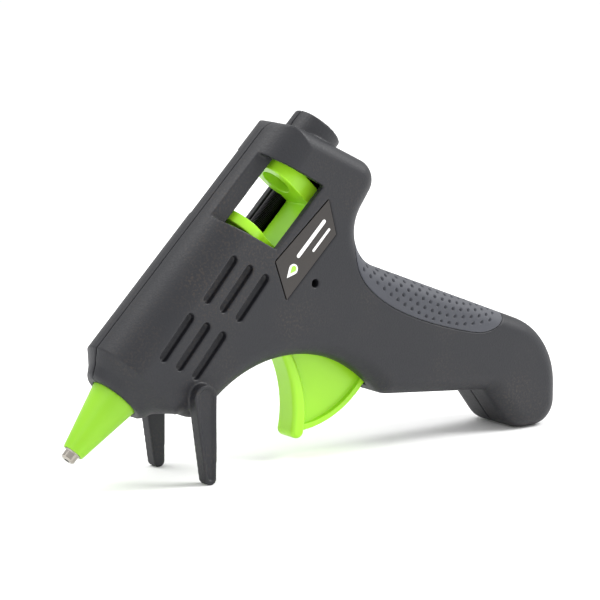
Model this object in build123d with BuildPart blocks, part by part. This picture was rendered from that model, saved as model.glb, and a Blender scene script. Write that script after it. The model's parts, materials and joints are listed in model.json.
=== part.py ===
"""Mini hot-melt glue gun: a two-part moulded housing with a heated chamber and a trigger feed.

Millimetres. +X runs from the nozzle to the handle, +Z is up, and the housing is split at Y = 0.
The gun stands on two front legs and on the butt of its handle. Features of the barrel are placed
by u, the distance behind the nozzle's end along the barrel's axis, and n, the height above that
axis. Features of the handle are placed by x from the nozzle's end and z above the table.
"""

from build123d import *
import os
from math import cos, hypot, radians, sin, tan

os.makedirs("parts", exist_ok=True)

# Overall placing
TIP_X = -78.05
TIP_Z = 8.85
BARREL_TILT = 45.5
HALF_WIDTH = 11.4
WALL = 2.0
EDGE_RADIUS = 5.0
TOP_HEIGHT = 13.5
TOP_RADIUS = 10.8
SEAM_HALF = 0.2
SEAM_DEPTH = 0.6
RUNNING_GAP = 0.05
SLACK = 0.05

# Nose, collar and legs
NOSE_MOUTH_U = 20.5
RIM_U = 21.3
RIM_RADIUS = 9.5
NOSE_FLATTEN = 0.9
NOSE_END_U = 27.0
NOSE_BOTTOM_N = -13.4
NECK_U = 23.6
NECK_HALF_WIDTH = 9.9
NECK_HALF_HEIGHT = 10.7
COLLAR_END_U = 113.7
COLLAR_RADIUS = 7.3
GUIDE_START_U = 100.6
GUIDE_RADIUS = 6.2
LEG_TOP = (34.0, 23.6)
LEG_TOP_RADIUS = 3.45
LEG_FOOT = (35.4, 1.7)
LEG_FOOT_RADIUS = 1.7
LEG_OUTER_Y = 14.35
LEG_INNER_Y = 10.7

# Glue stick and its path
STICK_BORE = 4.2
OUTLET_BORE = 0.8

# Windows and side grooves
WINDOW_FRONT_U = 76.1
WINDOW_REAR_U = 98.1
WINDOW_SLANT = 14.6
WINDOW_BOTTOM_N = -5.8
RAIL_OUTER_Y = 4.6
RAIL_INNER_Y = 2.9
RAIL_BOTTOM_N = 7.9
SLOT_WIDTH = 2.5
SLOT_LENGTH = 15.0
SLOT_DEPTH = 1.8
SLOT_FLOOR = 1.0
SLOT_PITCH = 5.65
SLOT_TOP_N = 3.0
SLOT_ROWS_U = (41.2, 60.7)
SLOT_TILT = 3.5
LABEL_CORNERS = ((75.0, -7.6), (98.2, -9.4), (92.9, -18.1), (69.8, -17.9))

# Trigger, feed carriage and return spring
PIVOT = (70.0, 37.5)
PIN_RADIUS = 1.5
PIN_HALF_LENGTH = 8.8
TRIGGER_STROKE = 20.0
WEB_HALF = 2.2
BEAD_HALF = 4.0
TRIGGER_REACH = 29.7
SLOT_HALF = 4.4
DRIVE_N = -12.0
DRIVE_BAR_RADIUS = 1.0
FLOOR_TOP_N = -8.6
FLOOR_BOTTOM_N = -10.2
FLOOR_HALF = 3.9
FLOOR_LEFT = 6.2
RING_RADIUS = 7.2
SPRING_Y = 6.7
SPRING_N = -7.6
SPRING_RADIUS = 2.4
SPRING_WIRE = 0.5
SPRING_FRONT_U = 80.2
SPRING_REAR_U = 106.5

# Heater
CHAMBER_RADIUS = 6.0
CHAMBER_START_U = 30.0
CHAMBER_END_U = 58.0
NECK_RADIUS = 2.95
HEATER_START_U = 33.0
HEATER_END_U = 52.0

# Fasteners and cord inlet
SCREW_PLACES = ((44.3, 28.2), (71.1, 49.8), (82.5, 70.7), (104.5, 24.5), (138.5, 17.5))
BOSS_RADIUS = 3.0
SHANK_RADIUS = 1.4
HEAD_RADIUS = 2.7
HEAD_SEAT_Y = 7.2
CORD_RADIUS = 2.7
BUSH_RADIUS = 4.2
BUSH_Z = 9.5
BUTT_X = 157.2

# Grip pad: the middle of its side view, and its edge on the handle's flank
PAD_MIDDLE = (115.0, 52.0)
PAD_EDGE = (
    (85.4, 59.6),
    (86.1, 50.8),
    (93.5, 42.9),
    (109.1, 35.2),
    (123.0, 31.0),
    (131.0, 30.2),
    (136.6, 33.2),
    (138.0, 38.5),
)

COS_TILT = cos(radians(BARREL_TILT))
SIN_TILT = sin(radians(BARREL_TILT))


def on_barrel(u, n):
    """World x and z of a point given along and above the barrel's axis."""
    return (TIP_X + u * COS_TILT - n * SIN_TILT, TIP_Z + u * SIN_TILT + n * COS_TILT)


def at(x, z):
    """World x and z of a point given from the nozzle's end and the table."""
    return (TIP_X + x, z)


def across_barrel(u):
    """Plane across the barrel: its x is world Y, its y is n, and it faces the rear."""
    x, z = on_barrel(u, 0)
    return Plane(origin=(x, 0, z), x_dir=(0, 1, 0), z_dir=(COS_TILT, 0, SIN_TILT))


def beside_barrel(y=0.0):
    """Plane beside the barrel at a given Y: its x is u, its y is n, and it faces -Y."""
    x, z = on_barrel(0, 0)
    return Plane(origin=(x, y, z), x_dir=(COS_TILT, 0, SIN_TILT), z_dir=(0, -1, 0))


def side_plane(y=0.0):
    """Plane beside the whole gun at a given Y: its x is X, its y is Z, and it faces -Y."""
    return Plane(origin=(0, y, 0), x_dir=(1, 0, 0), z_dir=(0, -1, 0))


BARREL_AXIS = Axis((TIP_X, 0, TIP_Z), (COS_TILT, 0, SIN_TILT))


# ---- the housing's outer form, at full size or inset from its skin ----
# Each entry is a corner of the side outline and the radius that rounds it.
OUTLINE = (
    (on_barrel(NOSE_END_U - 9, TOP_HEIGHT), 0),
    (on_barrel(105.6, TOP_HEIGHT), 6.0),
    (at(95.0, 78.2), 6.0),
    (at(80.4, 57.0), 11.0),
    (at(BUTT_X, 26.6), 21.5),
    (at(BUTT_X, 0), 7.5),
    (at(141.8, 0), 8.0),
    (at(132.4, 12.5), 2.5),
    (at(95.6, 15.8), 5.5),
    (at(67.7, 43.9), 38.2),
    (at(34.6, 16.1), 5.5),
    (on_barrel(NOSE_END_U + 0.6, NOSE_BOTTOM_N), 2.0),
    (on_barrel(NOSE_END_U - 9, NOSE_BOTTOM_N), 0),
)


def body_block(inset):
    """Barrel and handle as one rounded block, pulled in from the outer skin by inset."""
    with BuildPart() as block:
        with BuildSketch(side_plane()):
            with BuildLine():
                FilletPolyline(
                    *[corner for corner, radius in OUTLINE],
                    radius=[radius for corner, radius in OUTLINE],
                    close=True,
                )
            make_face()
            if inset:
                offset(amount=-inset)
        extrude(amount=HALF_WIDTH - inset, both=True)
        flanks = block.faces().sort_by(Axis.Y)
        fillet(flanks[0].edges() + flanks[-1].edges(), EDGE_RADIUS - inset)
        with BuildSketch(across_barrel(NOSE_END_U + inset)) as barrel_section:
            depth = 260
            with Locations((0, TOP_HEIGHT + SLACK - inset - depth / 2)):
                Rectangle(2 * (HALF_WIDTH + SLACK - inset), depth)
            top_corners = barrel_section.vertices().group_by(Axis.Y)[-1]
            fillet(top_corners, TOP_RADIUS - inset)
        extrude(amount=220, mode=Mode.INTERSECT)
    return block.part


outer_block = body_block(0)
core_block = body_block(WALL)
pad_bed_block = body_block(1.6)
pad_backing_block = body_block(3.4)
rib_block = body_block(WALL / 2)


def grown(x, z, gap):
    """Point of the grip pad's edge moved outward by gap."""
    across, up = x - PAD_MIDDLE[0], z - PAD_MIDDLE[1]
    scale = 1 + gap / hypot(across, up)
    return at(PAD_MIDDLE[0] + across * scale, PAD_MIDDLE[1] + up * scale)


def pad_zone(gap):
    """Side view of the grip pad grown by gap, run out past the back of the handle."""
    with BuildPart() as zone:
        with BuildSketch(side_plane()):
            with BuildLine():
                edge_line = Spline(*[grown(x, z, gap) for x, z in PAD_EDGE])
                Polyline(edge_line @ 1, at(138.0 + gap, 63.5), at(91.0, 63.5), edge_line @ 0)
            make_face()
        extrude(amount=HALF_WIDTH + 3, both=True)
    return zone.part


def draw_side_grooves(growth):
    """Draws the grooves of a flank in the current sketch, two rows of three, grown by growth."""
    for row_u in SLOT_ROWS_U:
        for index in range(3):
            with Locations((row_u + 1.4 * index, SLOT_TOP_N - 0.5 - SLOT_PITCH * index)):
                SlotOverall(SLOT_LENGTH + growth, SLOT_WIDTH + growth, rotation=SLOT_TILT)


# ---- bosses, rails and bulkheads inside the housing ----
with BuildPart() as framework:
    # screw bosses
    with BuildSketch(side_plane()):
        with Locations(*[at(x, z) for x, z in SCREW_PLACES]):
            Circle(BOSS_RADIUS)
    extrude(amount=HALF_WIDTH, both=True)
    # cups of the screw head recesses, on the right half
    with BuildSketch(side_plane(HALF_WIDTH)):
        with Locations(*[at(x, z) for x, z in SCREW_PLACES]):
            Circle(HEAD_RADIUS + 1.3)
    extrude(amount=HALF_WIDTH - HEAD_SEAT_Y + 1.5)
    # trigger pivot bosses, on each side of the trigger's hub
    with BuildSketch(side_plane(-SLOT_HALF - 0.2), side_plane(HALF_WIDTH)):
        with Locations(at(*PIVOT)):
            Circle(3.6)
    extrude(amount=HALF_WIDTH - SLOT_HALF - 0.2)
    # floors behind the side grooves
    groove_floor_y = HALF_WIDTH - SLOT_DEPTH - SLOT_FLOOR
    with BuildSketch(beside_barrel(-groove_floor_y), beside_barrel(HALF_WIDTH)):
        draw_side_grooves(2 * SLOT_FLOOR)
    extrude(amount=HALF_WIDTH - groove_floor_y)
    # rib that holds the inlet sleeve
    with BuildSketch(across_barrel(60.0)):
        with Locations((0, 1.5)):
            Rectangle(2 * HALF_WIDTH, 21)
        Circle(7.05, mode=Mode.SUBTRACT)
    extrude(amount=1.6)
    # guide tube behind the carriage
    with BuildSketch(across_barrel(GUIDE_START_U)):
        Circle(GUIDE_RADIUS)
    extrude(amount=COLLAR_END_U - GUIDE_START_U - 4)
    # upper rails, which edge the windows
    with BuildSketch(across_barrel(70.5)):
        with Locations(
            (-(RAIL_OUTER_Y + RAIL_INNER_Y) / 2, RAIL_BOTTOM_N + 4),
            ((RAIL_OUTER_Y + RAIL_INNER_Y) / 2, RAIL_BOTTOM_N + 4),
        ):
            Rectangle(RAIL_OUTER_Y - RAIL_INNER_Y, 8)
    extrude(amount=31)
    # lower rails, under the carriage's floor
    with BuildSketch(across_barrel(75.4)):
        with Locations((-7.2, FLOOR_BOTTOM_N - 1.1), (7.2, FLOOR_BOTTOM_N - 1.1)):
            Rectangle(8.4, 1.6)
    extrude(amount=28)
    # peg for the return spring, on the right half
    with BuildSketch(beside_barrel(HALF_WIDTH)):
        with Locations((SPRING_REAR_U, SPRING_N)):
            Circle(0.9)
    extrude(amount=HALF_WIDTH - 4.6)
    add(rib_block, mode=Mode.INTERSECT)


# ---- the whole housing, before it is split ----
with BuildPart() as housing:
    add(outer_block)
    # nose: from the body's own section through an oval neck to the mouth's rim
    with BuildSketch(across_barrel(NOSE_END_U + SLACK)) as nose_back:
        with Locations((0, (TOP_HEIGHT + NOSE_BOTTOM_N) / 2)):
            Rectangle(2 * HALF_WIDTH, TOP_HEIGHT - NOSE_BOTTOM_N)
        fillet(nose_back.vertices().group_by(Axis.Y)[-1], TOP_RADIUS)
        fillet(nose_back.vertices().group_by(Axis.Y)[0], EDGE_RADIUS)
    with BuildSketch(across_barrel(NECK_U)):
        Ellipse(NECK_HALF_WIDTH, NECK_HALF_HEIGHT)
    loft()
    with BuildSketch(across_barrel(NECK_U)):
        Ellipse(NECK_HALF_WIDTH, NECK_HALF_HEIGHT)
    with BuildSketch(across_barrel(RIM_U)):
        Ellipse(RIM_RADIUS * NOSE_FLATTEN, RIM_RADIUS)
    loft()
    with BuildSketch(across_barrel(RIM_U)):
        Ellipse(RIM_RADIUS * NOSE_FLATTEN, RIM_RADIUS)
    with BuildSketch(across_barrel(NOSE_MOUTH_U)):
        Ellipse(RIM_RADIUS * NOSE_FLATTEN - 0.9, RIM_RADIUS - 0.9)
    loft()
    # collar round the stick's inlet
    with BuildSketch(across_barrel(100.0)):
        Circle(COLLAR_RADIUS)
    extrude(amount=COLLAR_END_U - 100.0)

# the cavity is kept shallower behind the grip pad, whose bed is cut from outside
pad_bed = pad_zone(0.1) - pad_bed_block
backing = pad_zone(1.6) - pad_backing_block
cavity = core_block - backing

# thin slab on the split, outside the skin's first third of a millimetre
with BuildPart() as seam_slab:
    with BuildSketch(side_plane()):
        Rectangle(260, 260)
    extrude(amount=SEAM_HALF, both=True)
    add(body_block(SEAM_DEPTH), mode=Mode.SUBTRACT)
    with BuildSketch(across_barrel(0)):
        Circle(RIM_RADIUS - SEAM_DEPTH)
    extrude(amount=NOSE_END_U + 1, mode=Mode.SUBTRACT)
    with BuildSketch(across_barrel(90)):
        Circle(COLLAR_RADIUS - SEAM_DEPTH)
    extrude(amount=40, mode=Mode.SUBTRACT)
seam_groove = seam_slab.part

with BuildPart() as hollow_housing:
    add(housing.part)
    add(cavity, mode=Mode.SUBTRACT)
    add(framework.part)
    # legs, moulded on the flanks
    for side in (-1, 1):
        leg_plane = side_plane(-LEG_INNER_Y) if side < 0 else side_plane(LEG_OUTER_Y)
        with BuildSketch(leg_plane):
            with Locations(at(*LEG_TOP)):
                Circle(LEG_TOP_RADIUS)
            with Locations(at(*LEG_FOOT)):
                Circle(LEG_FOOT_RADIUS)
            make_hull()
        extrude(amount=LEG_OUTER_Y - LEG_INNER_Y)
        recess_plane = side_plane(-LEG_OUTER_Y + 0.5) if side < 0 else side_plane(LEG_OUTER_Y + 1)
        with BuildSketch(recess_plane):
            with Locations(at(*LEG_TOP)):
                Circle(LEG_TOP_RADIUS - 0.9)
            with Locations(at(LEG_FOOT[0], LEG_FOOT[1] + 0.4)):
                Circle(LEG_FOOT_RADIUS - 0.7)
            make_hull()
        extrude(amount=1.5, mode=Mode.SUBTRACT)
    # groove along the seam between the two halves
    add(seam_groove, mode=Mode.SUBTRACT)
    # bed of the grip pad
    add(pad_bed, mode=Mode.SUBTRACT)
    # stick inlet bore
    with BuildSketch(across_barrel(GUIDE_START_U - 1)):
        Circle(STICK_BORE)
    extrude(amount=20, mode=Mode.SUBTRACT)
    # nose bore with the pocket of the sleeve's flange, and the hole in the front bulkhead
    with BuildSketch(across_barrel(NOSE_MOUTH_U - 2)):
        Circle(6.6)
    extrude(amount=12, mode=Mode.SUBTRACT)
    with BuildSketch(across_barrel(24.0)):
        Circle(7.5)
    extrude(amount=3.0, mode=Mode.SUBTRACT)
    # windows, a pocket down to the rails on each side
    with BuildSketch(beside_barrel(-RAIL_OUTER_Y), beside_barrel(HALF_WIDTH + 5)):
        slant = tan(radians(WINDOW_SLANT))
        top = TOP_HEIGHT + 3
        with BuildLine():
            Polyline(
                (WINDOW_FRONT_U - top * slant, top),
                (WINDOW_REAR_U - top * slant, top),
                (WINDOW_REAR_U - WINDOW_BOTTOM_N * slant, WINDOW_BOTTOM_N),
                (WINDOW_FRONT_U - WINDOW_BOTTOM_N * slant, WINDOW_BOTTOM_N),
                close=True,
            )
        make_face()
    extrude(amount=HALF_WIDTH + 5 - RAIL_OUTER_Y, mode=Mode.SUBTRACT)
    # blind side grooves
    with BuildSketch(beside_barrel(-HALF_WIDTH + SLOT_DEPTH), beside_barrel(HALF_WIDTH + 1)):
        draw_side_grooves(0)
    extrude(amount=SLOT_DEPTH + 1, mode=Mode.SUBTRACT)
    # slot for the trigger in the belly
    with BuildSketch(side_plane()):
        with Locations(at(*PIVOT)):
            Circle(TRIGGER_REACH + 0.6)
        with Locations(at(64.2 - 40, 20)):
            Rectangle(80, 90, mode=Mode.SUBTRACT)
        with Locations(at(PIVOT[0], 34.2 + 40)):
            Rectangle(120, 80, mode=Mode.SUBTRACT)
    extrude(amount=SLOT_HALF, both=True, mode=Mode.SUBTRACT)
    # bore of the trigger pin
    with BuildSketch(side_plane()):
        with Locations(at(*PIVOT)):
            Circle(PIN_RADIUS + RUNNING_GAP)
    extrude(amount=PIN_HALF_LENGTH + 0.1, both=True, mode=Mode.SUBTRACT)
    # screws: pilot holes on the left, clearance holes and head recesses on the right
    with BuildSketch(side_plane()):
        with Locations(*[at(x, z) for x, z in SCREW_PLACES]):
            Circle(SHANK_RADIUS + RUNNING_GAP)
    extrude(amount=6.6, mode=Mode.SUBTRACT)
    with BuildSketch(side_plane()):
        with Locations(*[at(x, z) for x, z in SCREW_PLACES]):
            Circle(SHANK_RADIUS + 0.2)
    extrude(amount=-HEAD_SEAT_Y - 1, mode=Mode.SUBTRACT)
    with BuildSketch(side_plane(HEAD_SEAT_Y)):
        with Locations(*[at(x, z) for x, z in SCREW_PLACES]):
            Circle(HEAD_RADIUS + 0.3)
    extrude(amount=-8, mode=Mode.SUBTRACT)
    # the middle pilot hole runs out through the left flank
    with BuildSketch(side_plane()):
        with Locations(at(*SCREW_PLACES[1])):
            Circle(1.15)
    extrude(amount=HALF_WIDTH + 1, mode=Mode.SUBTRACT)
    # seats of the two label plates
    with BuildSketch(beside_barrel(-HALF_WIDTH + 0.8), beside_barrel(HALF_WIDTH + 1)):
        with BuildLine():
            Polyline(*LABEL_CORNERS, close=True)
        make_face()
    extrude(amount=1.8, mode=Mode.SUBTRACT)
    # cord inlet in the butt
    inlet_x, inlet_z = at(BUTT_X + 1, BUSH_Z)
    with BuildSketch(Plane(origin=(inlet_x, 0, inlet_z), x_dir=(0, 1, 0), z_dir=(-1, 0, 0))):
        Circle(BUSH_RADIUS + RUNNING_GAP)
    extrude(amount=8, mode=Mode.SUBTRACT)

with BuildPart() as left_shell:
    add(hollow_housing.part)
    split(bisect_by=Plane.XZ, keep=Keep.TOP)
left_shell.part.label = "left_shell"
export_step(left_shell.part, "parts/left_shell.step")

with BuildPart() as right_shell:
    add(hollow_housing.part)
    split(bisect_by=Plane.XZ, keep=Keep.BOTTOM)
right_shell.part.label = "right_shell"
export_step(right_shell.part, "parts/right_shell.step")


# ---- trim let into the housing ----
with BuildPart() as grip_pad:
    add(outer_block)
    add(pad_zone(0), mode=Mode.INTERSECT)
    add(pad_bed_block, mode=Mode.SUBTRACT)
grip_pad.part.label = "grip_pad"
export_step(grip_pad.part, "parts/grip_pad.step")

for name, plate_y in (("label_plate", -HALF_WIDTH + 0.8), ("rating_plate", HALF_WIDTH)):
    with BuildPart() as plate:
        with BuildSketch(beside_barrel(plate_y)):
            with BuildLine():
                Polyline(*LABEL_CORNERS, close=True)
            make_face()
            offset(amount=-0.15)
        extrude(amount=0.8)
    plate.part.label = name
    export_step(plate.part, f"parts/{name}.step")


# ---- nozzle and heated chamber, all round the barrel's axis ----
with BuildPart() as nozzle_tip:
    with BuildSketch(beside_barrel()):
        with BuildLine():
            Polyline(
                (0, OUTLET_BORE),
                (0, 1.5),
                (0.4, 1.95),
                (2.2, 1.95),
                (2.5, 2.35),
                (3.0, 2.4),
                (12.5, 3.7),
                (13.3, 4.3),
                (21.8, 4.3),
                (21.8, NECK_RADIUS + RUNNING_GAP),
                (15.0, NECK_RADIUS + RUNNING_GAP),
                (15.0, 1.2),
                (5.0, 1.2),
                (4.0, OUTLET_BORE),
                close=True,
            )
        make_face()
    revolve(axis=BARREL_AXIS)
nozzle_tip.part.label = "nozzle_tip"
export_step(nozzle_tip.part, "parts/nozzle_tip.step")

with BuildPart() as nozzle_sleeve:
    with BuildSketch(beside_barrel()):
        with BuildLine():
            Polyline(
                (2.5, 2.45),
                (2.5, 2.75),
                (2.8, 3.0),
                (NOSE_MOUTH_U - 0.1, 6.5),
                (24.1, 6.5),
                (24.1, 7.4),
                (26.8, 7.4),
                (26.8, 4.4),
                (13.2, 4.4),
                (12.4, 3.8),
                close=True,
            )
        make_face()
    revolve(axis=BARREL_AXIS)
nozzle_sleeve.part.label = "nozzle_sleeve"
export_step(nozzle_sleeve.part, "parts/nozzle_sleeve.step")

with BuildPart() as melt_chamber:
    with BuildSketch(beside_barrel()):
        with BuildLine():
            Polyline(
                (16.0, 0),
                (16.0, NECK_RADIUS),
                (CHAMBER_START_U, NECK_RADIUS),
                (CHAMBER_START_U, CHAMBER_RADIUS),
                (CHAMBER_END_U, CHAMBER_RADIUS),
                (CHAMBER_END_U, 0),
                close=True,
            )
        make_face()
    revolve(axis=BARREL_AXIS)
    # block under the bore that holds the heater
    with BuildSketch(across_barrel(HEATER_START_U)):
        with Locations((0, -6.9)):
            Rectangle(10.4, 9.8)
    extrude(amount=HEATER_END_U - HEATER_START_U)
    with BuildSketch(across_barrel(HEATER_START_U - 1)):
        with Locations((0, -8.9)):
            Rectangle(8.6, 3.4)
    extrude(amount=HEATER_END_U - HEATER_START_U + 2, mode=Mode.SUBTRACT)
    # bore, tapering to the outlet through the neck
    with BuildSketch(beside_barrel()):
        with BuildLine():
            Polyline((15.0, 0), (15.0, 1.4), (32.0, 1.4), (40.0, 4.0), (59.0, 4.0), (59.0, 0), close=True)
        make_face()
    revolve(axis=BARREL_AXIS, mode=Mode.SUBTRACT)
melt_chamber.part.label = "melt_chamber"
export_step(melt_chamber.part, "parts/melt_chamber.step")

with BuildPart() as chamber_gasket:
    with BuildSketch(beside_barrel()):
        with BuildLine():
            Polyline(
                (26.95, 3.0), (26.95, 6.5), (29.2, 6.5), (29.2, 7.0), (29.9, 7.0), (29.9, 3.0), close=True
            )
        make_face()
    revolve(axis=BARREL_AXIS)
chamber_gasket.part.label = "chamber_gasket"
export_step(chamber_gasket.part, "parts/chamber_gasket.step")

with BuildPart() as inlet_sleeve:
    with BuildSketch(beside_barrel()):
        with BuildLine():
            Polyline(
                (54.0, CHAMBER_RADIUS + RUNNING_GAP),
                (54.0, 7.4),
                (59.9, 7.4),
                (59.9, 7.0),
                (61.7, 7.0),
                (61.7, 7.4),
                (63.0, 7.4),
                (68.0, 5.4),
                (68.0, 3.9),
                (CHAMBER_END_U + 0.1, 4.0),
                (CHAMBER_END_U + 0.1, CHAMBER_RADIUS + RUNNING_GAP),
                close=True,
            )
        make_face()
    revolve(axis=BARREL_AXIS)
inlet_sleeve.part.label = "inlet_sleeve"
export_step(inlet_sleeve.part, "parts/inlet_sleeve.step")

with BuildPart() as sleeve_clamp:
    with BuildSketch(beside_barrel()):
        with Locations((56.5, 7.85)):
            Circle(0.4)
    revolve(axis=BARREL_AXIS)
sleeve_clamp.part.label = "sleeve_clamp"
export_step(sleeve_clamp.part, "parts/sleeve_clamp.step")


# ---- heater stack, from the chamber's side down ----
with BuildPart() as heater_insulation:
    with BuildSketch(across_barrel(HEATER_START_U - 0.5)):
        with Locations((0, -8.9)):
            Rectangle(8.5, 3.3)
            Rectangle(8.0, 2.8, mode=Mode.SUBTRACT)
    extrude(amount=HEATER_END_U - HEATER_START_U + 1)
heater_insulation.part.label = "heater_insulation"
export_step(heater_insulation.part, "parts/heater_insulation.step")

for name, middle_n in (("electrode_upper", -7.71), ("electrode_lower", -10.09)):
    with BuildPart() as electrode:
        with BuildSketch(across_barrel(HEATER_START_U - 0.8)):
            with Locations((0, middle_n)):
                Rectangle(7.8, 0.38)
        extrude(amount=HEATER_END_U - HEATER_START_U + 1.8)
    electrode.part.label = name
    export_step(electrode.part, f"parts/{name}.step")

with BuildPart() as ptc_heater:
    with BuildSketch(across_barrel(HEATER_START_U + 1)):
        with Locations((0, -8.9)):
            Rectangle(7.6, 1.98)
    extrude(amount=HEATER_END_U - HEATER_START_U - 2)
    fillet(ptc_heater.edges().filter_by(lambda edge: edge.length > 10), 0.3)
ptc_heater.part.label = "ptc_heater"
export_step(ptc_heater.part, "parts/ptc_heater.step")

with BuildPart() as heater_clip:
    with BuildSketch(across_barrel(38.5)):
        Circle(6.75)
        with Locations((0, -6.2)):
            Rectangle(11.8, 12.6)
        Circle(6.1, mode=Mode.SUBTRACT)
        with Locations((0, -5.9)):
            Rectangle(10.6, 12.0, mode=Mode.SUBTRACT)
        with Locations((0, 6)):
            Rectangle(7.0, 8.0, mode=Mode.SUBTRACT)
    extrude(amount=8.0)
heater_clip.part.label = "heater_clip"
export_step(heater_clip.part, "parts/heater_clip.step")


# ---- heater leads along the housing, and their crimps in the handle ----
LEAD_RADIUS = 0.7
crimp_start = at(110.0, 31.0)
crimp_direction = (cos(radians(-21.6)), 0, sin(radians(-21.6)))
for name, side in (("lead_live", -1), ("lead_neutral", 1)):
    lead_stops = (
        (on_barrel(53.85, -9.0), 2.6),
        (on_barrel(54.2, -13.0), 4.2),
        (on_barrel(60.0, -15.0), 6.6),
        (on_barrel(80.0, -15.5), 6.8),
        (on_barrel(89.0, -21.0), 6.8),
        (at(85.5, 47.0), 6.6),
        (at(94.0, 38.0), 5.9),
        (at(104.0, 33.4), 4.6),
        (crimp_start, 4.5),
    )
    with BuildPart() as lead:
        with BuildLine():
            route = FilletPolyline(
                *[(place[0], side * y, place[1]) for place, y in lead_stops],
                radius=[1.9, 2.6, 7.0, 5.0, 8.0, 10.0, 9.0],
            )
        with BuildSketch(Plane(origin=route @ 0, z_dir=route % 0)):
            Circle(LEAD_RADIUS)
        sweep()
    lead.part.label = name
    export_step(lead.part, f"parts/{name}.step")
    print(name, "length", round(route.length, 1))

with BuildPart() as crimp_connectors:
    for side in (-1, 1):
        mouth = (crimp_start[0], side * 4.5, crimp_start[1])
        with BuildSketch(Plane(origin=mouth, x_dir=(0, 1, 0), z_dir=crimp_direction)):
            Circle(1.7)
        extrude(amount=8.0)
crimp_connectors.part.label = "crimp_connectors"
export_step(crimp_connectors.part, "parts/crimp_connectors.step")


# ---- cord inlet bush ----
with BuildPart() as cord_bush:
    with BuildSketch(Plane(origin=(TIP_X + BUTT_X, 0, BUSH_Z), x_dir=(0, 1, 0), z_dir=(-1, 0, 0))):
        Circle(BUSH_RADIUS)
    extrude(amount=8.0)
    with BuildSketch(Plane(origin=(TIP_X + BUTT_X - 3.6, 0, BUSH_Z), x_dir=(0, 1, 0), z_dir=(-1, 0, 0))):
        Circle(5.0)
    extrude(amount=1.8)
    with BuildSketch(Plane(origin=(TIP_X + BUTT_X, 0, BUSH_Z), x_dir=(0, 1, 0), z_dir=(-1, 0, 0))):
        Circle(CORD_RADIUS)
    extrude(amount=9.0, mode=Mode.SUBTRACT)
cord_bush.part.label = "cord_bush"
export_step(cord_bush.part, "parts/cord_bush.step")


# ---- trigger mechanism ----
pivot_u = PIVOT[0] * COS_TILT + (PIVOT[1] - TIP_Z) * SIN_TILT
pivot_n = -PIVOT[0] * SIN_TILT + (PIVOT[1] - TIP_Z) * COS_TILT
drive_height = DRIVE_N - pivot_n
feed_stroke = 2 * drive_height * tan(radians(TRIGGER_STROKE / 2))
drive_u = pivot_u + feed_stroke / 2
print("pivot u, n", round(pivot_u, 3), round(pivot_n, 3))
print("feed stroke", round(feed_stroke, 4), "per radian", round(feed_stroke / radians(TRIGGER_STROKE), 4))

with BuildPart() as trigger_pin:
    with BuildSketch(side_plane()):
        with Locations(at(*PIVOT)):
            Circle(PIN_RADIUS)
    extrude(amount=PIN_HALF_LENGTH, both=True)
    chamfer(trigger_pin.edges(), 0.3)
trigger_pin.part.label = "trigger_pin"
export_step(trigger_pin.part, "parts/trigger_pin.step")


def on_reach(angle, radius=TRIGGER_REACH):
    """Point of the trigger at an angle round its pivot."""
    return at(PIVOT[0] + radius * cos(radians(angle)), PIVOT[1] + radius * sin(radians(angle)))


arm_angle = radians(BARREL_TILT - TRIGGER_STROKE / 2)
pivot_x, pivot_z = at(*PIVOT)
arm_plane = Plane(
    origin=(pivot_x, 0, pivot_z), x_dir=(cos(arm_angle), 0, sin(arm_angle)), z_dir=(0, -1, 0)
)

with BuildPart() as finger_edge:
    with BuildSketch(side_plane()):
        with BuildLine():
            front = Spline(at(65.0, 30.8), at(67.9, 24.0), at(69.3, 16.5), at(68.7, 8.0))
            foot = ThreePointArc(front @ 1, at(70.7, 5.8), at(72.9, 8.0))
            back = Spline(foot @ 1, at(73.4, 15.0), at(71.7, 23.5), at(67.6, 32.0))
            Line(back @ 1, front @ 0)
        make_face()
    extrude(amount=BEAD_HALF, both=True)
    fillet(finger_edge.faces().filter_by(Axis.Y).edges(), 1.2)

with BuildPart() as trigger:
    # web
    with BuildSketch(side_plane()):
        with BuildLine():
            Polyline(
                on_reach(-25),
                at(73.0, 41.0),
                at(66.4, 36.0),
                at(66.4, 29.5),
                at(71.0, 20.0),
                on_reach(-84),
            )
            ThreePointArc(on_reach(-84), on_reach(-55), on_reach(-25))
        make_face()
    extrude(amount=WEB_HALF, both=True)
    # raised rim along the lower arc
    with BuildSketch(side_plane()):
        with BuildLine():
            ThreePointArc(on_reach(-84), on_reach(-55), on_reach(-25))
            Line(on_reach(-25), on_reach(-25, TRIGGER_REACH - 1.6))
            ThreePointArc(
                on_reach(-25, TRIGGER_REACH - 1.6),
                on_reach(-55, TRIGGER_REACH - 1.6),
                on_reach(-84, TRIGGER_REACH - 1.6),
            )
            Line(on_reach(-84, TRIGGER_REACH - 1.6), on_reach(-84))
        make_face()
    extrude(amount=BEAD_HALF - 0.4, both=True)
    add(finger_edge.part)
    # hub and the forked arm that drives the carriage
    with BuildSketch(side_plane()):
        with Locations(at(*PIVOT)):
            Circle(4.2)
    extrude(amount=SLOT_HALF - 0.1, both=True)
    with BuildSketch(arm_plane):
        with Locations((0, 9.45)):
            Rectangle(6.4, 18.9)
    extrude(amount=WEB_HALF, both=True)
    with BuildSketch(arm_plane):
        with Locations((0, 17.85)):
            Circle(DRIVE_BAR_RADIUS + 0.35)
        with Locations((0, 19.9)):
            Rectangle(2 * DRIVE_BAR_RADIUS + 0.7, 4.1)
    extrude(amount=WEB_HALF + 1, both=True, mode=Mode.SUBTRACT)
    with BuildSketch(side_plane()):
        with Locations(at(*PIVOT)):
            Circle(PIN_RADIUS + RUNNING_GAP)
    extrude(amount=SLOT_HALF + 1, both=True, mode=Mode.SUBTRACT)
trigger.part.label = "trigger"
export_step(trigger.part, "parts/trigger.step")

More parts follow.
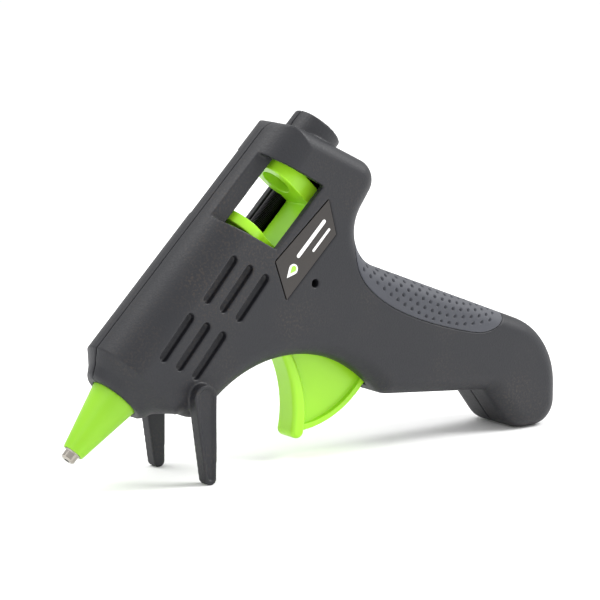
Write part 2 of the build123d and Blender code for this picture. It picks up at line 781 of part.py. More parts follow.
with BuildPart() as carriage:
    # two rings joined by the floor, all wider on the left, where no spring lies
    for ring_u, ring_length, left_reach in ((76.5, 3.0, FLOOR_LEFT), (94.4, 4.8, RING_RADIUS)):
        with BuildSketch(across_barrel(ring_u)):
            Circle(RING_RADIUS)
            with Locations(((FLOOR_HALF - left_reach) / 2, FLOOR_TOP_N / 2 - 0.1)):
                Rectangle(FLOOR_HALF + left_reach, -FLOOR_TOP_N + 0.2)
        extrude(amount=ring_length)
    with BuildSketch(across_barrel(drive_u - 2.2)):
        with Locations(((FLOOR_HALF - FLOOR_LEFT) / 2, (FLOOR_TOP_N + FLOOR_BOTTOM_N) / 2)):
            Rectangle(FLOOR_HALF + FLOOR_LEFT, FLOOR_TOP_N - FLOOR_BOTTOM_N)
    extrude(amount=99.2 - drive_u + 2.2)
    with BuildSketch(across_barrel(70.0)):
        Circle(STICK_BORE)
    extrude(amount=40, mode=Mode.SUBTRACT)
    # lugs and the bar between them that the trigger's fork pushes
    with BuildSketch(across_barrel(drive_u - 1.8)):
        with Locations((-3.2, FLOOR_BOTTOM_N - 1.6), (3.2, FLOOR_BOTTOM_N - 1.6)):
            Rectangle(1.4, 3.4)
    extrude(amount=3.6)
    with BuildSketch(beside_barrel()):
        with Locations((drive_u, DRIVE_N)):
            Circle(DRIVE_BAR_RADIUS)
    extrude(amount=FLOOR_HALF, both=True)
    # lug and peg for the return spring
    with BuildSketch(across_barrel(SPRING_FRONT_U - 1.2)):
        with Locations((3.6, -8.3)):
            Rectangle(1.6, 3.8)
    extrude(amount=2.4)
    with BuildSketch(beside_barrel(8.4)):
        with Locations((SPRING_FRONT_U, SPRING_N)):
            Circle(0.9)
    extrude(amount=8.4 - 4.0)
carriage.part.label = "carriage"
export_step(carriage.part, "parts/carriage.step")

with BuildPart() as return_spring:
    coil_front = SPRING_FRONT_U + 3.4
    coil_rear = SPRING_REAR_U - 3.4
    # close-wound coil as a tube with closed ends
    with BuildSketch(across_barrel(coil_front)):
        with Locations((SPRING_Y, SPRING_N)):
            Circle(SPRING_RADIUS)
    extrude(amount=coil_rear - coil_front)
    with BuildSketch(across_barrel(coil_front + SPRING_WIRE)):
        with Locations((SPRING_Y, SPRING_N)):
            Circle(SPRING_RADIUS - SPRING_WIRE)
    extrude(amount=coil_rear - coil_front - 2 * SPRING_WIRE, mode=Mode.SUBTRACT)
    # straight tails and the loops over the two pegs
    for tail_u in (SPRING_FRONT_U + 1.15, coil_rear - 0.1):
        with BuildSketch(across_barrel(tail_u)):
            with Locations((SPRING_Y, SPRING_N)):
                Circle(0.2)
        extrude(amount=2.35)
    with BuildSketch(beside_barrel(SPRING_Y + SPRING_WIRE / 2)):
        with Locations((SPRING_FRONT_U, SPRING_N), (SPRING_REAR_U, SPRING_N)):
            Circle(0.95 + SPRING_WIRE)
            Circle(0.95, mode=Mode.SUBTRACT)
    extrude(amount=SPRING_WIRE)
return_spring.part.label = "return_spring"
export_step(return_spring.part, "parts/return_spring.step")


# ---- housing screws, driven from the right ----
with BuildPart() as housing_screws:
    with BuildSketch(side_plane(HEAD_SEAT_Y)):
        with Locations(*[at(x, z) for x, z in SCREW_PLACES]):
            Circle(SHANK_RADIUS)
    extrude(amount=HEAD_SEAT_Y + 5.8)
    with BuildSketch(side_plane(HEAD_SEAT_Y + 2.0)):
        with Locations(*[at(x, z) for x, z in SCREW_PLACES]):
            Circle(HEAD_RADIUS)
    extrude(amount=2.0)
    fillet(housing_screws.edges().group_by(Axis.Y)[-1], 0.7)
    with BuildSketch(side_plane(HEAD_SEAT_Y + 2.0)):
        with Locations(*[at(x, z) for x, z in SCREW_PLACES]):
            Rectangle(3.0, 0.7)
            Rectangle(0.7, 3.0)
    extrude(amount=1.2, mode=Mode.SUBTRACT)
housing_screws.part.label = "housing_screws"
export_step(housing_screws.part, "parts/housing_screws.step")
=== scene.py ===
# %% [markdown]
# # A mini hot-melt glue gun, dressed for its portrait
# The moving model already exists as a fixed frame: every body sits where the mechanism needs it.
# This lesson adds what the eye wants on top of it: real moulded textures, a dimpled grip, a wound
# spring and printed marks. We load the frame first.

# %% Load the frame
import json
from math import cos, pi, radians, sin

import bmesh
import bpy
import numpy as np
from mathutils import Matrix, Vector


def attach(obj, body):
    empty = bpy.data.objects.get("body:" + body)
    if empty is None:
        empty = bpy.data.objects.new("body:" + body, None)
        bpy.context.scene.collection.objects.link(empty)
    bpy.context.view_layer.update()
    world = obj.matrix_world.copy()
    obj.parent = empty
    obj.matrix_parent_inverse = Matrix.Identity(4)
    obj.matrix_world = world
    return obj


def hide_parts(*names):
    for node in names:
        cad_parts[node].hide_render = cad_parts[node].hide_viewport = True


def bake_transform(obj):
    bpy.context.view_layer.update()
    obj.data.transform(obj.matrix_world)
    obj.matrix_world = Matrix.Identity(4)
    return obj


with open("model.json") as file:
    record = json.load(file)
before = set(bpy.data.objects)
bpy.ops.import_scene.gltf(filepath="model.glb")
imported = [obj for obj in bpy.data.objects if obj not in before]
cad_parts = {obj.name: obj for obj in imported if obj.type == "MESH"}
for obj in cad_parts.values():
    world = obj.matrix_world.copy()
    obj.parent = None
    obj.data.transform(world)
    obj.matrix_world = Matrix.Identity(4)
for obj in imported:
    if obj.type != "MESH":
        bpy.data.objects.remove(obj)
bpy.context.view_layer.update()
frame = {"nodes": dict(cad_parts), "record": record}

print("nodes:", len(frame["nodes"]))

# %% [markdown]
# ## Finding our way along the barrel
# The barrel leans at 45.5 degrees, so world X and Z are awkward for anything on it. We use two
# lengths in millimetres instead: u, along the barrel's axis from the nozzle's end, and n, the height
# above that axis. One helper turns them into a place in the scene, in metres.

# %% Barrel coordinates
MM = 0.001
NOZZLE_END = Vector((-78.05, 0, 8.85))
TILT = radians(45.5)
ALONG = Vector((cos(TILT), 0, sin(TILT)))
ABOVE = Vector((-sin(TILT), 0, cos(TILT)))
ACROSS = Vector((0, 1, 0))


def on_barrel(u, n, y=0.0):
    """Place in metres of a point given in millimetres along, above and across the barrel."""
    return (NOZZLE_END + ALONG * u + ABOVE * n + ACROSS * y) * MM


print("inlet collar ends at", [round(c, 4) for c in on_barrel(113.7, 0)])

# %% [markdown]
# ## The camera
# The gun is seen from its nozzle's left, a little from above, through a long lens. A long lens from
# far away keeps the near leg and the far leg almost the same size, as in a catalogue picture. A
# shorter lens would be easier to place but would swell the nozzle.

# %% Camera
CAMERA_PLACE = Vector((-464.12, -650.36, 189.67)) * MM
CAMERA_TARGET = Vector((-4.0, 0, 43.30)) * MM
camera_data = bpy.data.cameras.new("portrait_camera")
camera_data.lens = 179.19
camera_data.sensor_width = 36
camera = bpy.data.objects.new("portrait_camera", camera_data)
camera.location = CAMERA_PLACE
camera.rotation_euler = (CAMERA_TARGET - CAMERA_PLACE).to_track_quat("-Z", "Y").to_euler()
bpy.context.scene.collection.objects.link(camera)
bpy.context.scene.camera = camera
print("camera distance", round((CAMERA_TARGET - CAMERA_PLACE).length, 3))

# %% [markdown]
# ## Floor and light
# A catalogue picture uses a white sweep and large soft boxes, so dark plastic gets long, quiet
# highlights and hardly any shadow. We lay a nearly white floor, let a bright world fill everything,
# and add three soft boxes: a key high on the right, which lights the grip's back and the butt, a
# strip above and behind that draws the line along the barrel's top, and a weak fill on the left,
# so the nose stays the darkest part.

# %% Floor
FLOOR_HALF = 4.0
floor_mesh = bpy.data.meshes.new("studio_floor")
corners = [(FLOOR_HALF * x, FLOOR_HALF * y, 0) for x, y in ((-1, -1), (1, -1), (1, 1), (-1, 1))]
floor_mesh.from_pydata(corners, [], [(0, 1, 2, 3)])
floor = bpy.data.objects.new("studio_floor", floor_mesh)
bpy.context.scene.collection.objects.link(floor)
print("floor is", 2 * FLOOR_HALF, "m across")

# %% Soft boxes
def soft_box(name, place, target, size, watts):
    """A square area light aimed at a target, placed in metres."""
    light = bpy.data.lights.new(name, "AREA")
    light.size = size
    light.energy = watts
    holder = bpy.data.objects.new(name, light)
    holder.location = place
    holder.rotation_euler = (Vector(target) - Vector(place)).to_track_quat("-Z", "Y").to_euler()
    bpy.context.scene.collection.objects.link(holder)


soft_box("key_box", (0.75, -0.45, 0.85), (0.02, 0, 0.04), 0.5, 12)
soft_box("top_strip", (-0.25, 0.25, 0.95), (0, 0, 0.05), 0.5, 5)
soft_box("fill_box", (-0.85, -0.25, 0.35), (0, 0, 0.03), 0.4, 1.2)
WORLD_BRIGHTNESS = 0.95
world = bpy.data.worlds.new("studio_world")
world.use_nodes = True
background = world.node_tree.nodes["Background"]
background.inputs["Color"].default_value = (1, 1, 1, 1)
background.inputs["Strength"].default_value = WORLD_BRIGHTNESS
bpy.context.scene.world = world
bpy.context.scene.view_settings.view_transform = "Standard"

# %% [markdown]
# ## Small tools for materials
# Colours are easiest to read as the hex values a paint chart gives, but the renderer works in linear
# light, so one function converts them. A noise pattern's scale counts features in a metre, which says
# little, so another works it out from a feature's size in millimetres. The third adds a node, sets it
# up and links it, which keeps each recipe short enough to read.

# %% Material helpers
def linear(colour):
    """An sRGB hex colour as linear red, green, blue and alpha."""
    channels = [int(colour[i:i + 2], 16) / 255 for i in (1, 3, 5)]
    return tuple(c / 12.92 if c <= 0.04045 else ((c + 0.055) / 1.055) ** 2.4 for c in channels) + (1,)


def across(size_mm):
    """Noise scale that draws features of a size given in millimetres."""
    return 1 / (size_mm * MM)


def add_node(tree, kind, inputs=None, **settings):
    """Adds a node; each input is a plain value, or another node's output to link."""
    node = tree.nodes.new(kind)
    for name, value in settings.items():
        setattr(node, name, value)
    for socket, value in (inputs or {}).items():
        if isinstance(value, bpy.types.NodeSocket):
            tree.links.new(value, node.inputs[socket])
        else:
            node.inputs[socket].default_value = value
    return node


def new_material(name, **values):
    """An empty recipe: the material, its tree, its shader and the place on the object in metres."""
    material = bpy.data.materials.new(name)
    material.use_nodes = True
    tree = material.node_tree
    shader = tree.nodes["Principled BSDF"]
    for socket, value in values.items():
        shader.inputs[socket.replace("_", " ")].default_value = value
    place = add_node(tree, "ShaderNodeTexCoord").outputs["Object"]
    return material, tree, shader, place


print("charcoal in linear light:", [round(c, 3) for c in linear("#333336")[:3]])

# %% [markdown]
# ## Moulded ABS with a spark texture
# The housing is ABS, moulded in a tool whose face was spark-eroded. That leaves a fine random grain,
# about 0.3 mm between peaks, which breaks up the highlight and makes the plastic look dry. At this
# distance the true grain is too fine to show, so it is drawn 0.5 mm across. Faint warm flecks, two
# thirds of a millimetre across, gathered in clouds 21 mm wide, are painted sheen: the brownish glint
# the grained surface gives under the lights, drawn into the colour.

# %% Textured ABS
abs_plastic, tree, shader, place = new_material("spark_textured_ABS", Roughness=0.48, IOR=1.45)
cloud = add_node(tree, "ShaderNodeTexNoise", {"Vector": place, "Scale": across(20.833), "Detail": 2.0})
grain = add_node(tree, "ShaderNodeTexNoise", {"Vector": place, "Scale": across(0.5), "Detail": 2.0})
sheen_speck = add_node(tree, "ShaderNodeTexNoise", {"Vector": place, "Scale": across(0.6667), "Detail": 3.0})
tone = add_node(tree, "ShaderNodeMix", {"Factor": cloud.outputs["Fac"], "A": linear("#17181d"),
                                        "B": linear("#1c1d22")}, data_type="RGBA")
# Painted sheen: warm flecks, gathered in clouds, stand in for the brownish glint of the grained surface
# under the lights.
sheen_gathered = add_node(tree, "ShaderNodeMapRange", {"Value": cloud.outputs["Fac"], "From Min": 0.46,
                                                 "From Max": 0.68, "To Min": 0.0, "To Max": 1.0})
sheen_fleck = add_node(tree, "ShaderNodeMapRange", {"Value": sheen_speck.outputs["Fac"], "From Min": 0.48,
                                              "From Max": 0.70, "To Min": 0.0, "To Max": 0.4})
sheen_amount = add_node(tree, "ShaderNodeMath", operation="MULTIPLY")
tree.links.new(sheen_gathered.outputs["Result"], sheen_amount.inputs[0])
tree.links.new(sheen_fleck.outputs["Result"], sheen_amount.inputs[1])
# The painted sheen is mixed into the base colour here.
colour = add_node(tree, "ShaderNodeMix", {"Factor": sheen_amount.outputs["Value"], "A": tone.outputs["Result"],
                                          "B": linear("#443a30")}, data_type="RGBA")
dry = add_node(tree, "ShaderNodeMapRange", {"Value": grain.outputs["Fac"], "To Min": 0.40, "To Max": 0.62})
bump = add_node(tree, "ShaderNodeBump", {"Height": grain.outputs["Fac"], "Strength": 0.5,
                                         "Distance": 0.12 * MM})
tree.links.new(colour.outputs["Result"], shader.inputs["Base Color"])
tree.links.new(dry.outputs["Result"], shader.inputs["Roughness"])
tree.links.new(bump.outputs["Normal"], shader.inputs["Normal"])
print("made", abs_plastic.name)

# %% [markdown]
# ## Soft grip elastomer
# The pad on the back of the handle is a thermoplastic rubber, moulded over the hard shell. It is
# duller than ABS and looks a shade lighter and bluer: high roughness and a faint sheen give it the
# softness of skin. Its fine texture is drawn 0.7 mm across and its uneven tone 14 mm.

# %% Grip elastomer
grip_rubber, tree, shader, place = new_material(
    "overmoulded_TPE", Roughness=0.62, IOR=1.5, Sheen_Weight=0.12, Sheen_Roughness=0.5)
skin = add_node(tree, "ShaderNodeTexNoise", {"Vector": place, "Scale": across(0.7143), "Detail": 2.0})
wear = add_node(tree, "ShaderNodeTexNoise", {"Vector": place, "Scale": across(14.286), "Detail": 3.0})
colour = add_node(tree, "ShaderNodeMix", {"Factor": wear.outputs["Fac"], "A": linear("#34363d"),
                                          "B": linear("#3c3e46")}, data_type="RGBA")
bump = add_node(tree, "ShaderNodeBump", {"Height": skin.outputs["Fac"], "Strength": 0.3,
                                         "Distance": 0.08 * MM})
tree.links.new(colour.outputs["Result"], shader.inputs["Base Color"])
tree.links.new(bump.outputs["Normal"], shader.inputs["Normal"])
print("made", grip_rubber.name)

# %% [markdown]
# ## Two greens: silicone and nylon
# The nozzle's sleeve is silicone, so it can sit on hot metal: light enters it and comes back softened,
# which a little subsurface scattering gives. The trigger and the feed carriage are nylon of the same
# green, harder, glossier and a little lighter. One function makes both, because they share their
# pigment and differ only in tone, gloss and softness. The tone drifts over 17 mm, as plastic flows in
# a mould, and the skin has the slight orange peel of a polished tool, 1.4 mm across.

# %% Green plastics
def green_plastic(name, light, dark, roughness, softness, waviness):
    """Lime green moulded plastic of a given pair of tones, gloss and softness."""
    material, tree, shader, place = new_material(
        name, Roughness=roughness, IOR=1.45, Subsurface_Weight=softness, Subsurface_Scale=2 * MM)
    shader.inputs["Subsurface Radius"].default_value = (0.6, 1.0, 0.2)
    flow = add_node(tree, "ShaderNodeTexNoise", {"Vector": place, "Scale": across(16.667), "Detail": 2.0})
    orange_peel = add_node(tree, "ShaderNodeTexNoise", {"Vector": place, "Scale": across(1.4286),
                                                        "Detail": 1.0})
    colour = add_node(tree, "ShaderNodeMix", {"Factor": flow.outputs["Fac"], "A": linear(dark),
                                              "B": linear(light)}, data_type="RGBA")
    bump = add_node(tree, "ShaderNodeBump", {"Height": orange_peel.outputs["Fac"],
                                             "Strength": waviness, "Distance": 0.06 * MM})
    tree.links.new(colour.outputs["Result"], shader.inputs["Base Color"])
    tree.links.new(bump.outputs["Normal"], shader.inputs["Normal"])
    return material


green_silicone = green_plastic("moulded_silicone_green", "#8dc624", "#84bd1b", 0.42, 0.25, 0.35)
green_nylon = green_plastic("moulded_nylon_green", "#a4e42c", "#9cdb24", 0.3, 0.12, 0.2)
print("made", green_silicone.name, green_nylon.name)

# %% [markdown]
# ## Metals
# The nozzle is brass, turned and then nickel plated, so it keeps fine rings round its axis under a
# warm silver colour. Rings come from a wave texture that runs along the barrel, whose bands lie
# 2 pi / 20 apart at a scale of one; turning marks are 0.35 mm apart here, coarser than real ones, so
# that they show. The spring, the clips and the screws are steels that differ in colour and roughness,
# so one recipe serves them all.

# %% Nickel-plated brass
TURNING_MARK_GAP = 0.34907 * MM
nickel, tree, shader, place = new_material("nickel_plated_brass", Metallic=1.0, Roughness=0.2)
leaned = add_node(tree, "ShaderNodeMapping", {"Vector": place, "Rotation": (0, TILT, 0)})
rings = add_node(tree, "ShaderNodeTexWave", {"Vector": leaned.outputs["Vector"], "Distortion": 0.4,
                                             "Scale": 2 * pi / 20 / TURNING_MARK_GAP},
                 bands_direction="X")
tarnish = add_node(tree, "ShaderNodeTexNoise", {"Vector": place, "Scale": across(2.5), "Detail": 3.0})
colour = add_node(tree, "ShaderNodeMix", {"Factor": tarnish.outputs["Fac"], "A": linear("#b4afa8"),
                                          "B": linear("#8f887e")}, data_type="RGBA")
bump = add_node(tree, "ShaderNodeBump", {"Height": rings.outputs["Fac"], "Strength": 0.25,
                                         "Distance": 0.03 * MM})
tree.links.new(colour.outputs["Result"], shader.inputs["Base Color"])
tree.links.new(bump.outputs["Normal"], shader.inputs["Normal"])
print("made", nickel.name)

# %% Steels, brass and aluminium
def worked_metal(name, light, dark, roughness, grain_mm):
    """Bare metal whose colour and gloss vary over a grain of a given size."""
    material, tree, shader, place = new_material(name, Metallic=1.0, Roughness=roughness)
    grain = add_node(tree, "ShaderNodeTexNoise", {"Vector": place, "Scale": across(grain_mm), "Detail": 3.0})
    colour = add_node(tree, "ShaderNodeMix", {"Factor": grain.outputs["Fac"], "A": linear(dark),
                                              "B": linear(light)}, data_type="RGBA")
    gloss = add_node(tree, "ShaderNodeMapRange", {"Value": grain.outputs["Fac"],
                                                  "To Min": roughness - 0.06, "To Max": roughness + 0.1})
    bump = add_node(tree, "ShaderNodeBump", {"Height": grain.outputs["Fac"], "Strength": 0.2,
                                             "Distance": 0.03 * MM})
    tree.links.new(colour.outputs["Result"], shader.inputs["Base Color"])
    tree.links.new(gloss.outputs["Result"], shader.inputs["Roughness"])
    tree.links.new(bump.outputs["Normal"], shader.inputs["Normal"])
    return material


oiled_steel = worked_metal("oiled_spring_steel", "#2c2b2d", "#1b1a1c", 0.3, 0.8)
ground_steel = worked_metal("ground_steel", "#b5b5b8", "#98989c", 0.25, 0.4)
dark_zinc = worked_metal("passivated_zinc_on_steel", "#77757a", "#55535a", 0.34, 0.6)
cast_aluminium = worked_metal("die_cast_aluminium", "#c9cacc", "#a9aaad", 0.42, 0.7)
sheet_brass = worked_metal("stamped_brass", "#d8b56a", "#b8934c", 0.3, 0.9)
print("made five bare metals")

# %% [markdown]
# ## Quiet finishes
# Label film, insulation, heater ceramic, grey silicone parts, lead sleeves, crimps and the cord bush
# are small or hidden, but each still gets its own colour, mottling and grain from one shared recipe.
# The studio's paper floor comes from it too, nearly smooth.

# %% Non-metal finishes
def moulded(name, light, dark, roughness, grain_mm, relief=0.25):
    """A non-metal finish: two close tones and a fine relief, both over a grain of a given size."""
    material, tree, shader, place = new_material(name, Roughness=roughness, IOR=1.5)
    mottle = add_node(tree, "ShaderNodeTexNoise", {"Vector": place, "Scale": across(8.333), "Detail": 4.0})
    grain = add_node(tree, "ShaderNodeTexNoise", {"Vector": place, "Scale": across(grain_mm), "Detail": 2.0})
    colour = add_node(tree, "ShaderNodeMix", {"Factor": mottle.outputs["Fac"], "A": linear(dark),
                                              "B": linear(light)}, data_type="RGBA")
    bump = add_node(tree, "ShaderNodeBump", {"Height": grain.outputs["Fac"], "Strength": relief,
                                             "Distance": 0.06 * MM})
    tree.links.new(colour.outputs["Result"], shader.inputs["Base Color"])
    tree.links.new(bump.outputs["Normal"], shader.inputs["Normal"])
    return material


label_film = moulded("satin_polyester_film", "#2b2521", "#1d1a18", 0.34, 0.9)
polyimide = moulded("polyimide_film", "#b8781e", "#8f5612", 0.3, 1.5)
heater_ceramic = moulded("barium_titanate_ceramic", "#4a4644", "#383534", 0.75, 0.3)
grey_silicone = moulded("silicone_grey", "#a19d98", "#8c8883", 0.5, 0.8)
lead_sleeve = moulded("braided_glass_sleeve", "#d9d6cd", "#bdb9ae", 0.7, 0.4, 0.6)
crimp_nylon = moulded("natural_nylon", "#d8d2bf", "#c2bba6", 0.4, 1.0)
bush_pvc = moulded("flexible_PVC", "#1d1d1f", "#151516", 0.5, 0.7)
floor_sweep = moulded("studio_paper", "#fbfbfb", "#f9f9f9", 0.9, 4.0, 0.02)
print("made the quiet finishes")

# %% [markdown]
# ## Giving every node its finish
# Each node of the frame keeps its shape and takes the finish its record names. A plain table pairs the
# record's slots with our materials, so a node can't be missed.

# %% Assign finishes
FINISHES = {
    "textured_abs": abs_plastic,
    "grip_elastomer": grip_rubber,
    "label_film": label_film,
    "nickel_plated_brass": nickel,
    "green_silicone": green_silicone,
    "green_nylon": green_nylon,
    "die_cast_aluminium": cast_aluminium,
    "grey_silicone": grey_silicone,
    "spring_steel": oiled_steel,
    "steel_pin": ground_steel,
    "screw_steel": dark_zinc,
    "polyimide_film": polyimide,
    "contact_brass": sheet_brass,
    "ptc_ceramic": heater_ceramic,
    "lead_insulation": lead_sleeve,
    "crimp_nylon": crimp_nylon,
    "bush_pvc": bush_pvc,
}
for part in frame["record"]["subparts"]:
    node = frame["nodes"][part["node"]]
    node.data.materials.clear()
    node.data.materials.append(FINISHES[part["material_slot"]])
floor.data.materials.append(floor_sweep)

# %% [markdown]
# ## Softening the moulded edges
# No moulded part has a perfectly sharp edge: the tool's own corners are slightly round, and those
# round edges catch the thin bright lines that make plastic look real. A bevel needs tidy faces, and
# a frame made for a machine has long thin ones. So each visible moulding is copied, rebuilt as an
# even skin of small squares by voxel remeshing, and relaxed a little, which rounds every edge by a
# few tenths of a millimetre and keeps the form. The frame's own node is then hidden.

# %% Rebuild a moulding with soft edges
def evaluated_copy(source, name):
    """A new, smoothly shaded object whose mesh is the source's after its modifiers."""
    bpy.context.view_layer.update()
    graph = bpy.context.evaluated_depsgraph_get()
    mesh = bpy.data.meshes.new_from_object(source.evaluated_get(graph))
    mesh.name = name
    mesh.polygons.foreach_set("use_smooth", [True] * len(mesh.polygons))
    piece = bpy.data.objects.new(name, mesh)
    bpy.context.scene.collection.objects.link(piece)
    return piece


def even_skin(node, name, square_mm, relaxing=0):
    """A copy of a node rebuilt from even squares, relaxed a number of times."""
    raw = bpy.data.objects.new("raw_" + name, frame["nodes"][node].data.copy())
    bpy.context.scene.collection.objects.link(raw)
    remesh = raw.modifiers.new("even skin", "REMESH")
    remesh.mode = "VOXEL"
    remesh.voxel_size = square_mm * MM
    if relaxing:
        smooth = raw.modifiers.new("soft edges", "SMOOTH")
        smooth.factor = 0.5
        smooth.iterations = relaxing
    piece = evaluated_copy(raw, name)
    bpy.data.objects.remove(raw)
    piece.data.materials.clear()
    return piece


SOFT_MOULDINGS = (
    ("left_shell", "left_moulding", "housing", "textured_abs", 0.28, 3),
    ("right_shell", "right_moulding", "housing", "textured_abs", 0.28, 3),
    ("trigger", "trigger_moulding", "trigger", "green_nylon", 0.2, 4),
    ("carriage", "carriage_moulding", "carriage", "green_nylon", 0.2, 3),
    ("nozzle_sleeve", "sleeve_moulding", "housing", "green_silicone", 0.2, 4),
)
for node, name, body, slot, square_mm, relaxing in SOFT_MOULDINGS:
    piece = even_skin(node, name, square_mm, relaxing)
    piece.data.materials.append(FINISHES[slot])
    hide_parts(node)
    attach(piece, body)
    print(name, "has", len(piece.data.polygons), "faces")

# %% [markdown]
# ## The dimpled grip pad
# The real pad has rows of small round dimples that stop a hand from slipping. Bump alone would show
# no relief at the silhouette, so we model them. The pad's solid is copied and rebuilt as an even skin
# of small squares, and each point near a dimple's middle is pressed inwards. To find the middles, the
# surface is unrolled: one length runs along the back of the handle, the other round it from its
# middle line. Rows follow a smooth curve fitted to the lower edge of the pad's outline, each row half
# a pitch out of step with the next. Dimples keep clear of the edge all round and of the middle line,
# where the rows of the two sides would run into each other. All lengths here are in millimetres.

# %% Pad skin
grip = even_skin("grip_pad", "dimpled_grip", 0.22)
print("pad skin points:", len(grip.data.vertices))

# %% Unroll the pad
BACK_START = np.array((2.35, 57.0))
BACK_END = np.array((79.15, 26.6))
PAD_EDGE = np.array(((85.4, 59.6), (86.1, 50.8), (93.5, 42.9), (109.1, 35.2), (123.0, 31.0),
                     (131.0, 30.2), (136.6, 33.2), (138.0, 38.5))) + (NOZZLE_END.x, 0)
FLAT_HALF = 6.4
ROUND = 5.0
run = (BACK_END - BACK_START) / np.linalg.norm(BACK_END - BACK_START)
down = np.array((run[1], -run[0]))


def unrolled(depth, reach):
    """Distance round the handle from the middle of its back, from depth and distance off centre."""
    turn = np.arctan2(np.clip(reach - FLAT_HALF, 0, None), np.clip(ROUND - depth, 1e-6, None))
    flank = FLAT_HALF + ROUND * pi / 2 + depth - ROUND
    return np.where(reach < FLAT_HALF, reach, np.where(depth > ROUND, flank, FLAT_HALF + ROUND * turn))


points = np.empty(len(grip.data.vertices) * 3)
grip.data.vertices.foreach_get("co", points)
points = points.reshape(-1, 3) / MM
normals = np.empty(len(points) * 3)
grip.data.vertices.foreach_get("normal", normals)
normals = normals.reshape(-1, 3)
side = points[:, (0, 2)]
along_pad = (side - BACK_START) @ run
reach = np.abs(points[:, 1])
around = unrolled((side - BACK_START) @ down, reach)
print("pad is", round(np.ptp(along_pad), 1), "mm long and", round(around.max(), 1), "mm round each side")

# %% Measure each point from its dimple
PITCH = 2.8
ROW_GAP = 2.05
FIRST_ROW = 2.1
edge_along = (PAD_EDGE - BACK_START) @ run
edge_depth = (PAD_EDGE - BACK_START) @ down
LOWER_EDGE = slice(1, 7)
edge_curve = np.polyfit(edge_along[LOWER_EDGE], edge_depth[LOWER_EDGE], 3)
edge_around = FLAT_HALF + ROUND * pi / 2 + np.polyval(edge_curve, along_pad) - ROUND
rows_in = (edge_around - FIRST_ROW - around) / ROW_GAP
row = np.round(rows_in)
shift = (row % 2) * 0.5
column = np.round(along_pad / PITCH - shift)
miss = np.hypot((rows_in - row) * ROW_GAP, along_pad - (column + shift) * PITCH)
print("nearest point is", round(float(miss.min()), 3), "mm from the middle of a dimple")

# %% Press the dimples
DIMPLE_RADIUS = 0.54
DIMPLE_DEPTH = 0.6
EDGE_MARGIN = 0.8
LAST_DIMPLE = 58.0
starts, ends = PAD_EDGE[:-1], PAD_EDGE[1:]
spans = ends - starts
share = np.clip(((side[:, None] - starts) * spans).sum(2) / (spans ** 2).sum(1), 0, 1)
edge_gap = np.linalg.norm(side[:, None] - (starts + share[..., None] * spans), axis=2).min(1)
facing_out = np.where(reach > FLAT_HALF + 2, normals[:, 1] * np.sign(points[:, 1]) > 0.3,
                      normals[:, (0, 2)] @ down < -0.3)
off_middle = edge_around - FIRST_ROW - row * ROW_GAP > DIMPLE_RADIUS
on_pad = (row >= 0) & (edge_gap > EDGE_MARGIN) & (along_pad < LAST_DIMPLE) & off_middle
pressed = (miss < DIMPLE_RADIUS) & on_pad & facing_out
bowl = np.where(pressed, DIMPLE_DEPTH * (1 - (miss / DIMPLE_RADIUS) ** 4), 0)
points -= normals * bowl[:, None]
grip.data.vertices.foreach_set("co", (points * MM).ravel())
grip.data.update()
grip.data.materials.append(grip_rubber)
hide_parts("grip_pad")
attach(grip, "housing")
print("pressed points:", int(pressed.sum()))

# %% [markdown]
# ## The wound return spring
# The frame holds a plain tube where the return spring is. The real one is music wire, wound close,
# with a loop at each end: one over a peg in the housing and one over a peg on the carriage. We lay
# points along a helix and sweep a round wire along them.

# %% Wind the spring
SPRING_Y, SPRING_N = 6.7, -7.6
FRONT_PEG_U, REAR_PEG_U = 80.2, 106.5
WIRE = 0.42
COIL_RADIUS = 2.17
COIL_START, COIL_END = REAR_PEG_U - 3.6, FRONT_PEG_U + 3.6
TURNS = 45
STEPS_PER_TURN = 20
LOOP_RADIUS = 1.25
LOOP_STEPS = 24
TAIL = 0.9


def end_loop(peg_u, opening):
    """Points of the loop round a peg, starting where it opens, at +1 or -1 along the barrel."""
    angles = [2 * pi * step / LOOP_STEPS for step in range(LOOP_STEPS + 1)]
    return [(peg_u + opening * LOOP_RADIUS * cos(a), SPRING_N + LOOP_RADIUS * sin(a), SPRING_Y)
            for a in angles]


def spring_path():
    """Points of the wire in millimetres: rear loop, coil, front loop."""
    path = end_loop(REAR_PEG_U, -1) + [(COIL_START + TAIL, SPRING_N, SPRING_Y)]
    for step in range(TURNS * STEPS_PER_TURN + 1):
        angle = 2 * pi * step / STEPS_PER_TURN
        u = COIL_START + (COIL_END - COIL_START) * step / (TURNS * STEPS_PER_TURN)
        path.append((u, SPRING_N + COIL_RADIUS * sin(angle), SPRING_Y + COIL_RADIUS * cos(angle)))
    return path + [(COIL_END - TAIL, SPRING_N, SPRING_Y)] + end_loop(FRONT_PEG_U, 1)


def wire_piece(name, path, diameter):
    """A round wire swept along points given as u, n and y in millimetres."""
    curve = bpy.data.curves.new(name, "CURVE")
    curve.dimensions = "3D"
    curve.bevel_depth = diameter / 2 * MM
    curve.bevel_resolution = 2
    curve.use_fill_caps = True
    spline = curve.splines.new("POLY")
    spline.points.add(len(path) - 1)
    for point, (u, n, y) in zip(spline.points, path):
        point.co = (*on_barrel(u, n, y), 1)
    holder = bpy.data.objects.new(name, curve)
    bpy.context.scene.collection.objects.link(holder)
    piece = evaluated_copy(holder, name + "_wire")
    bpy.data.objects.remove(holder)
    return piece


spring = wire_piece("return_spring", spring_path(), WIRE)
spring.data.materials.append(oiled_steel)
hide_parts("return_spring")
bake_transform(spring)
print("spring points:", len(spring.data.vertices))

# %% [markdown]
# ## Marks on the labels
# A pad-printed label needs ink. Ours carries a plain drop and two bars instead of any words. Ink is
# too thin to see from the side, but a piece of its own gives it a crisp edge, so each mark is a flat
# outline given 0.04 mm of thickness and laid on the label. It starts a hair inside the label, so no
# gap shows, and the drop's core is twice as thick as the drop, so it stands clear on top of it.

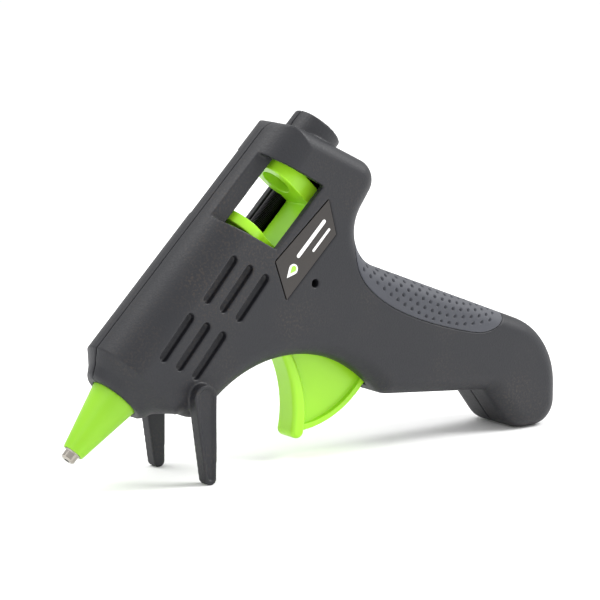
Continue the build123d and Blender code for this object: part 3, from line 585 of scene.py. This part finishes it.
# %% Ink and printed marks
white_ink = moulded("white_pad_ink", "#eeeeec", "#e4e4e2", 0.5, 1.2)
green_ink = moulded("green_pad_ink", "#9fe34a", "#93d83e", 0.5, 1.2)
LABEL_FACE_Y = 11.4
INK = 0.04
SUNK = 0.01


def printed_mark(name, outline, side, ink, thickness=INK):
    """A thin inked shape on a label, its outline given as u and n in millimetres."""
    mesh = bpy.data.meshes.new(name)
    work = bmesh.new()
    lower = [work.verts.new(on_barrel(u, n, side * (LABEL_FACE_Y - SUNK))) for u, n in outline]
    face = work.faces.new(lower)
    raised = bmesh.ops.extrude_face_region(work, geom=[face])["geom"]
    for vertex in raised:
        if isinstance(vertex, bmesh.types.BMVert):
            vertex.co += Vector((0, side * (thickness + SUNK) * MM, 0))
    bmesh.ops.recalc_face_normals(work, faces=work.faces)
    work.to_mesh(mesh)
    work.free()
    mesh.materials.append(ink)
    piece = bpy.data.objects.new(name, mesh)
    bpy.context.scene.collection.objects.link(piece)
    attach(piece, "housing")


def bar(u, n, length, height):
    """Outline of a round-ended bar lying along the barrel."""
    radius = height / 2
    outline = []
    for end in (1, -1):
        for step in range(13):
            angle = pi * (step / 12 - end / 2)
            outline.append((u + (length / 2 - radius) * end + radius * cos(angle), n + radius * sin(angle)))
    return outline


def drop(u, n, radius):
    """Outline of a drop with its point forward along the barrel."""
    angles = [1.4 * pi * (step / 20 - 0.5) for step in range(21)]
    return [(u + radius * cos(a), n + radius * sin(a)) for a in angles] + [(u - 2.1 * radius, n)]


printed_mark("drop_mark", drop(77.2, -13.6, 1.45), -1, white_ink)
printed_mark("drop_core", drop(77.4, -13.6, 0.8), -1, green_ink, 2 * INK)
printed_mark("long_bar", bar(86.8, -12.4, 13.0, 1.1), -1, white_ink)
printed_mark("short_bar", bar(88.6, -15.2, 8.0, 0.75), -1, white_ink)
for index, n in enumerate((-10.6, -12.4, -14.2, -16.0)):
    printed_mark(f"rating_line_{index}", bar(83.4, n, 16.0 - 2.5 * (index % 2), 0.45), 1, white_ink)
print("printed the labels")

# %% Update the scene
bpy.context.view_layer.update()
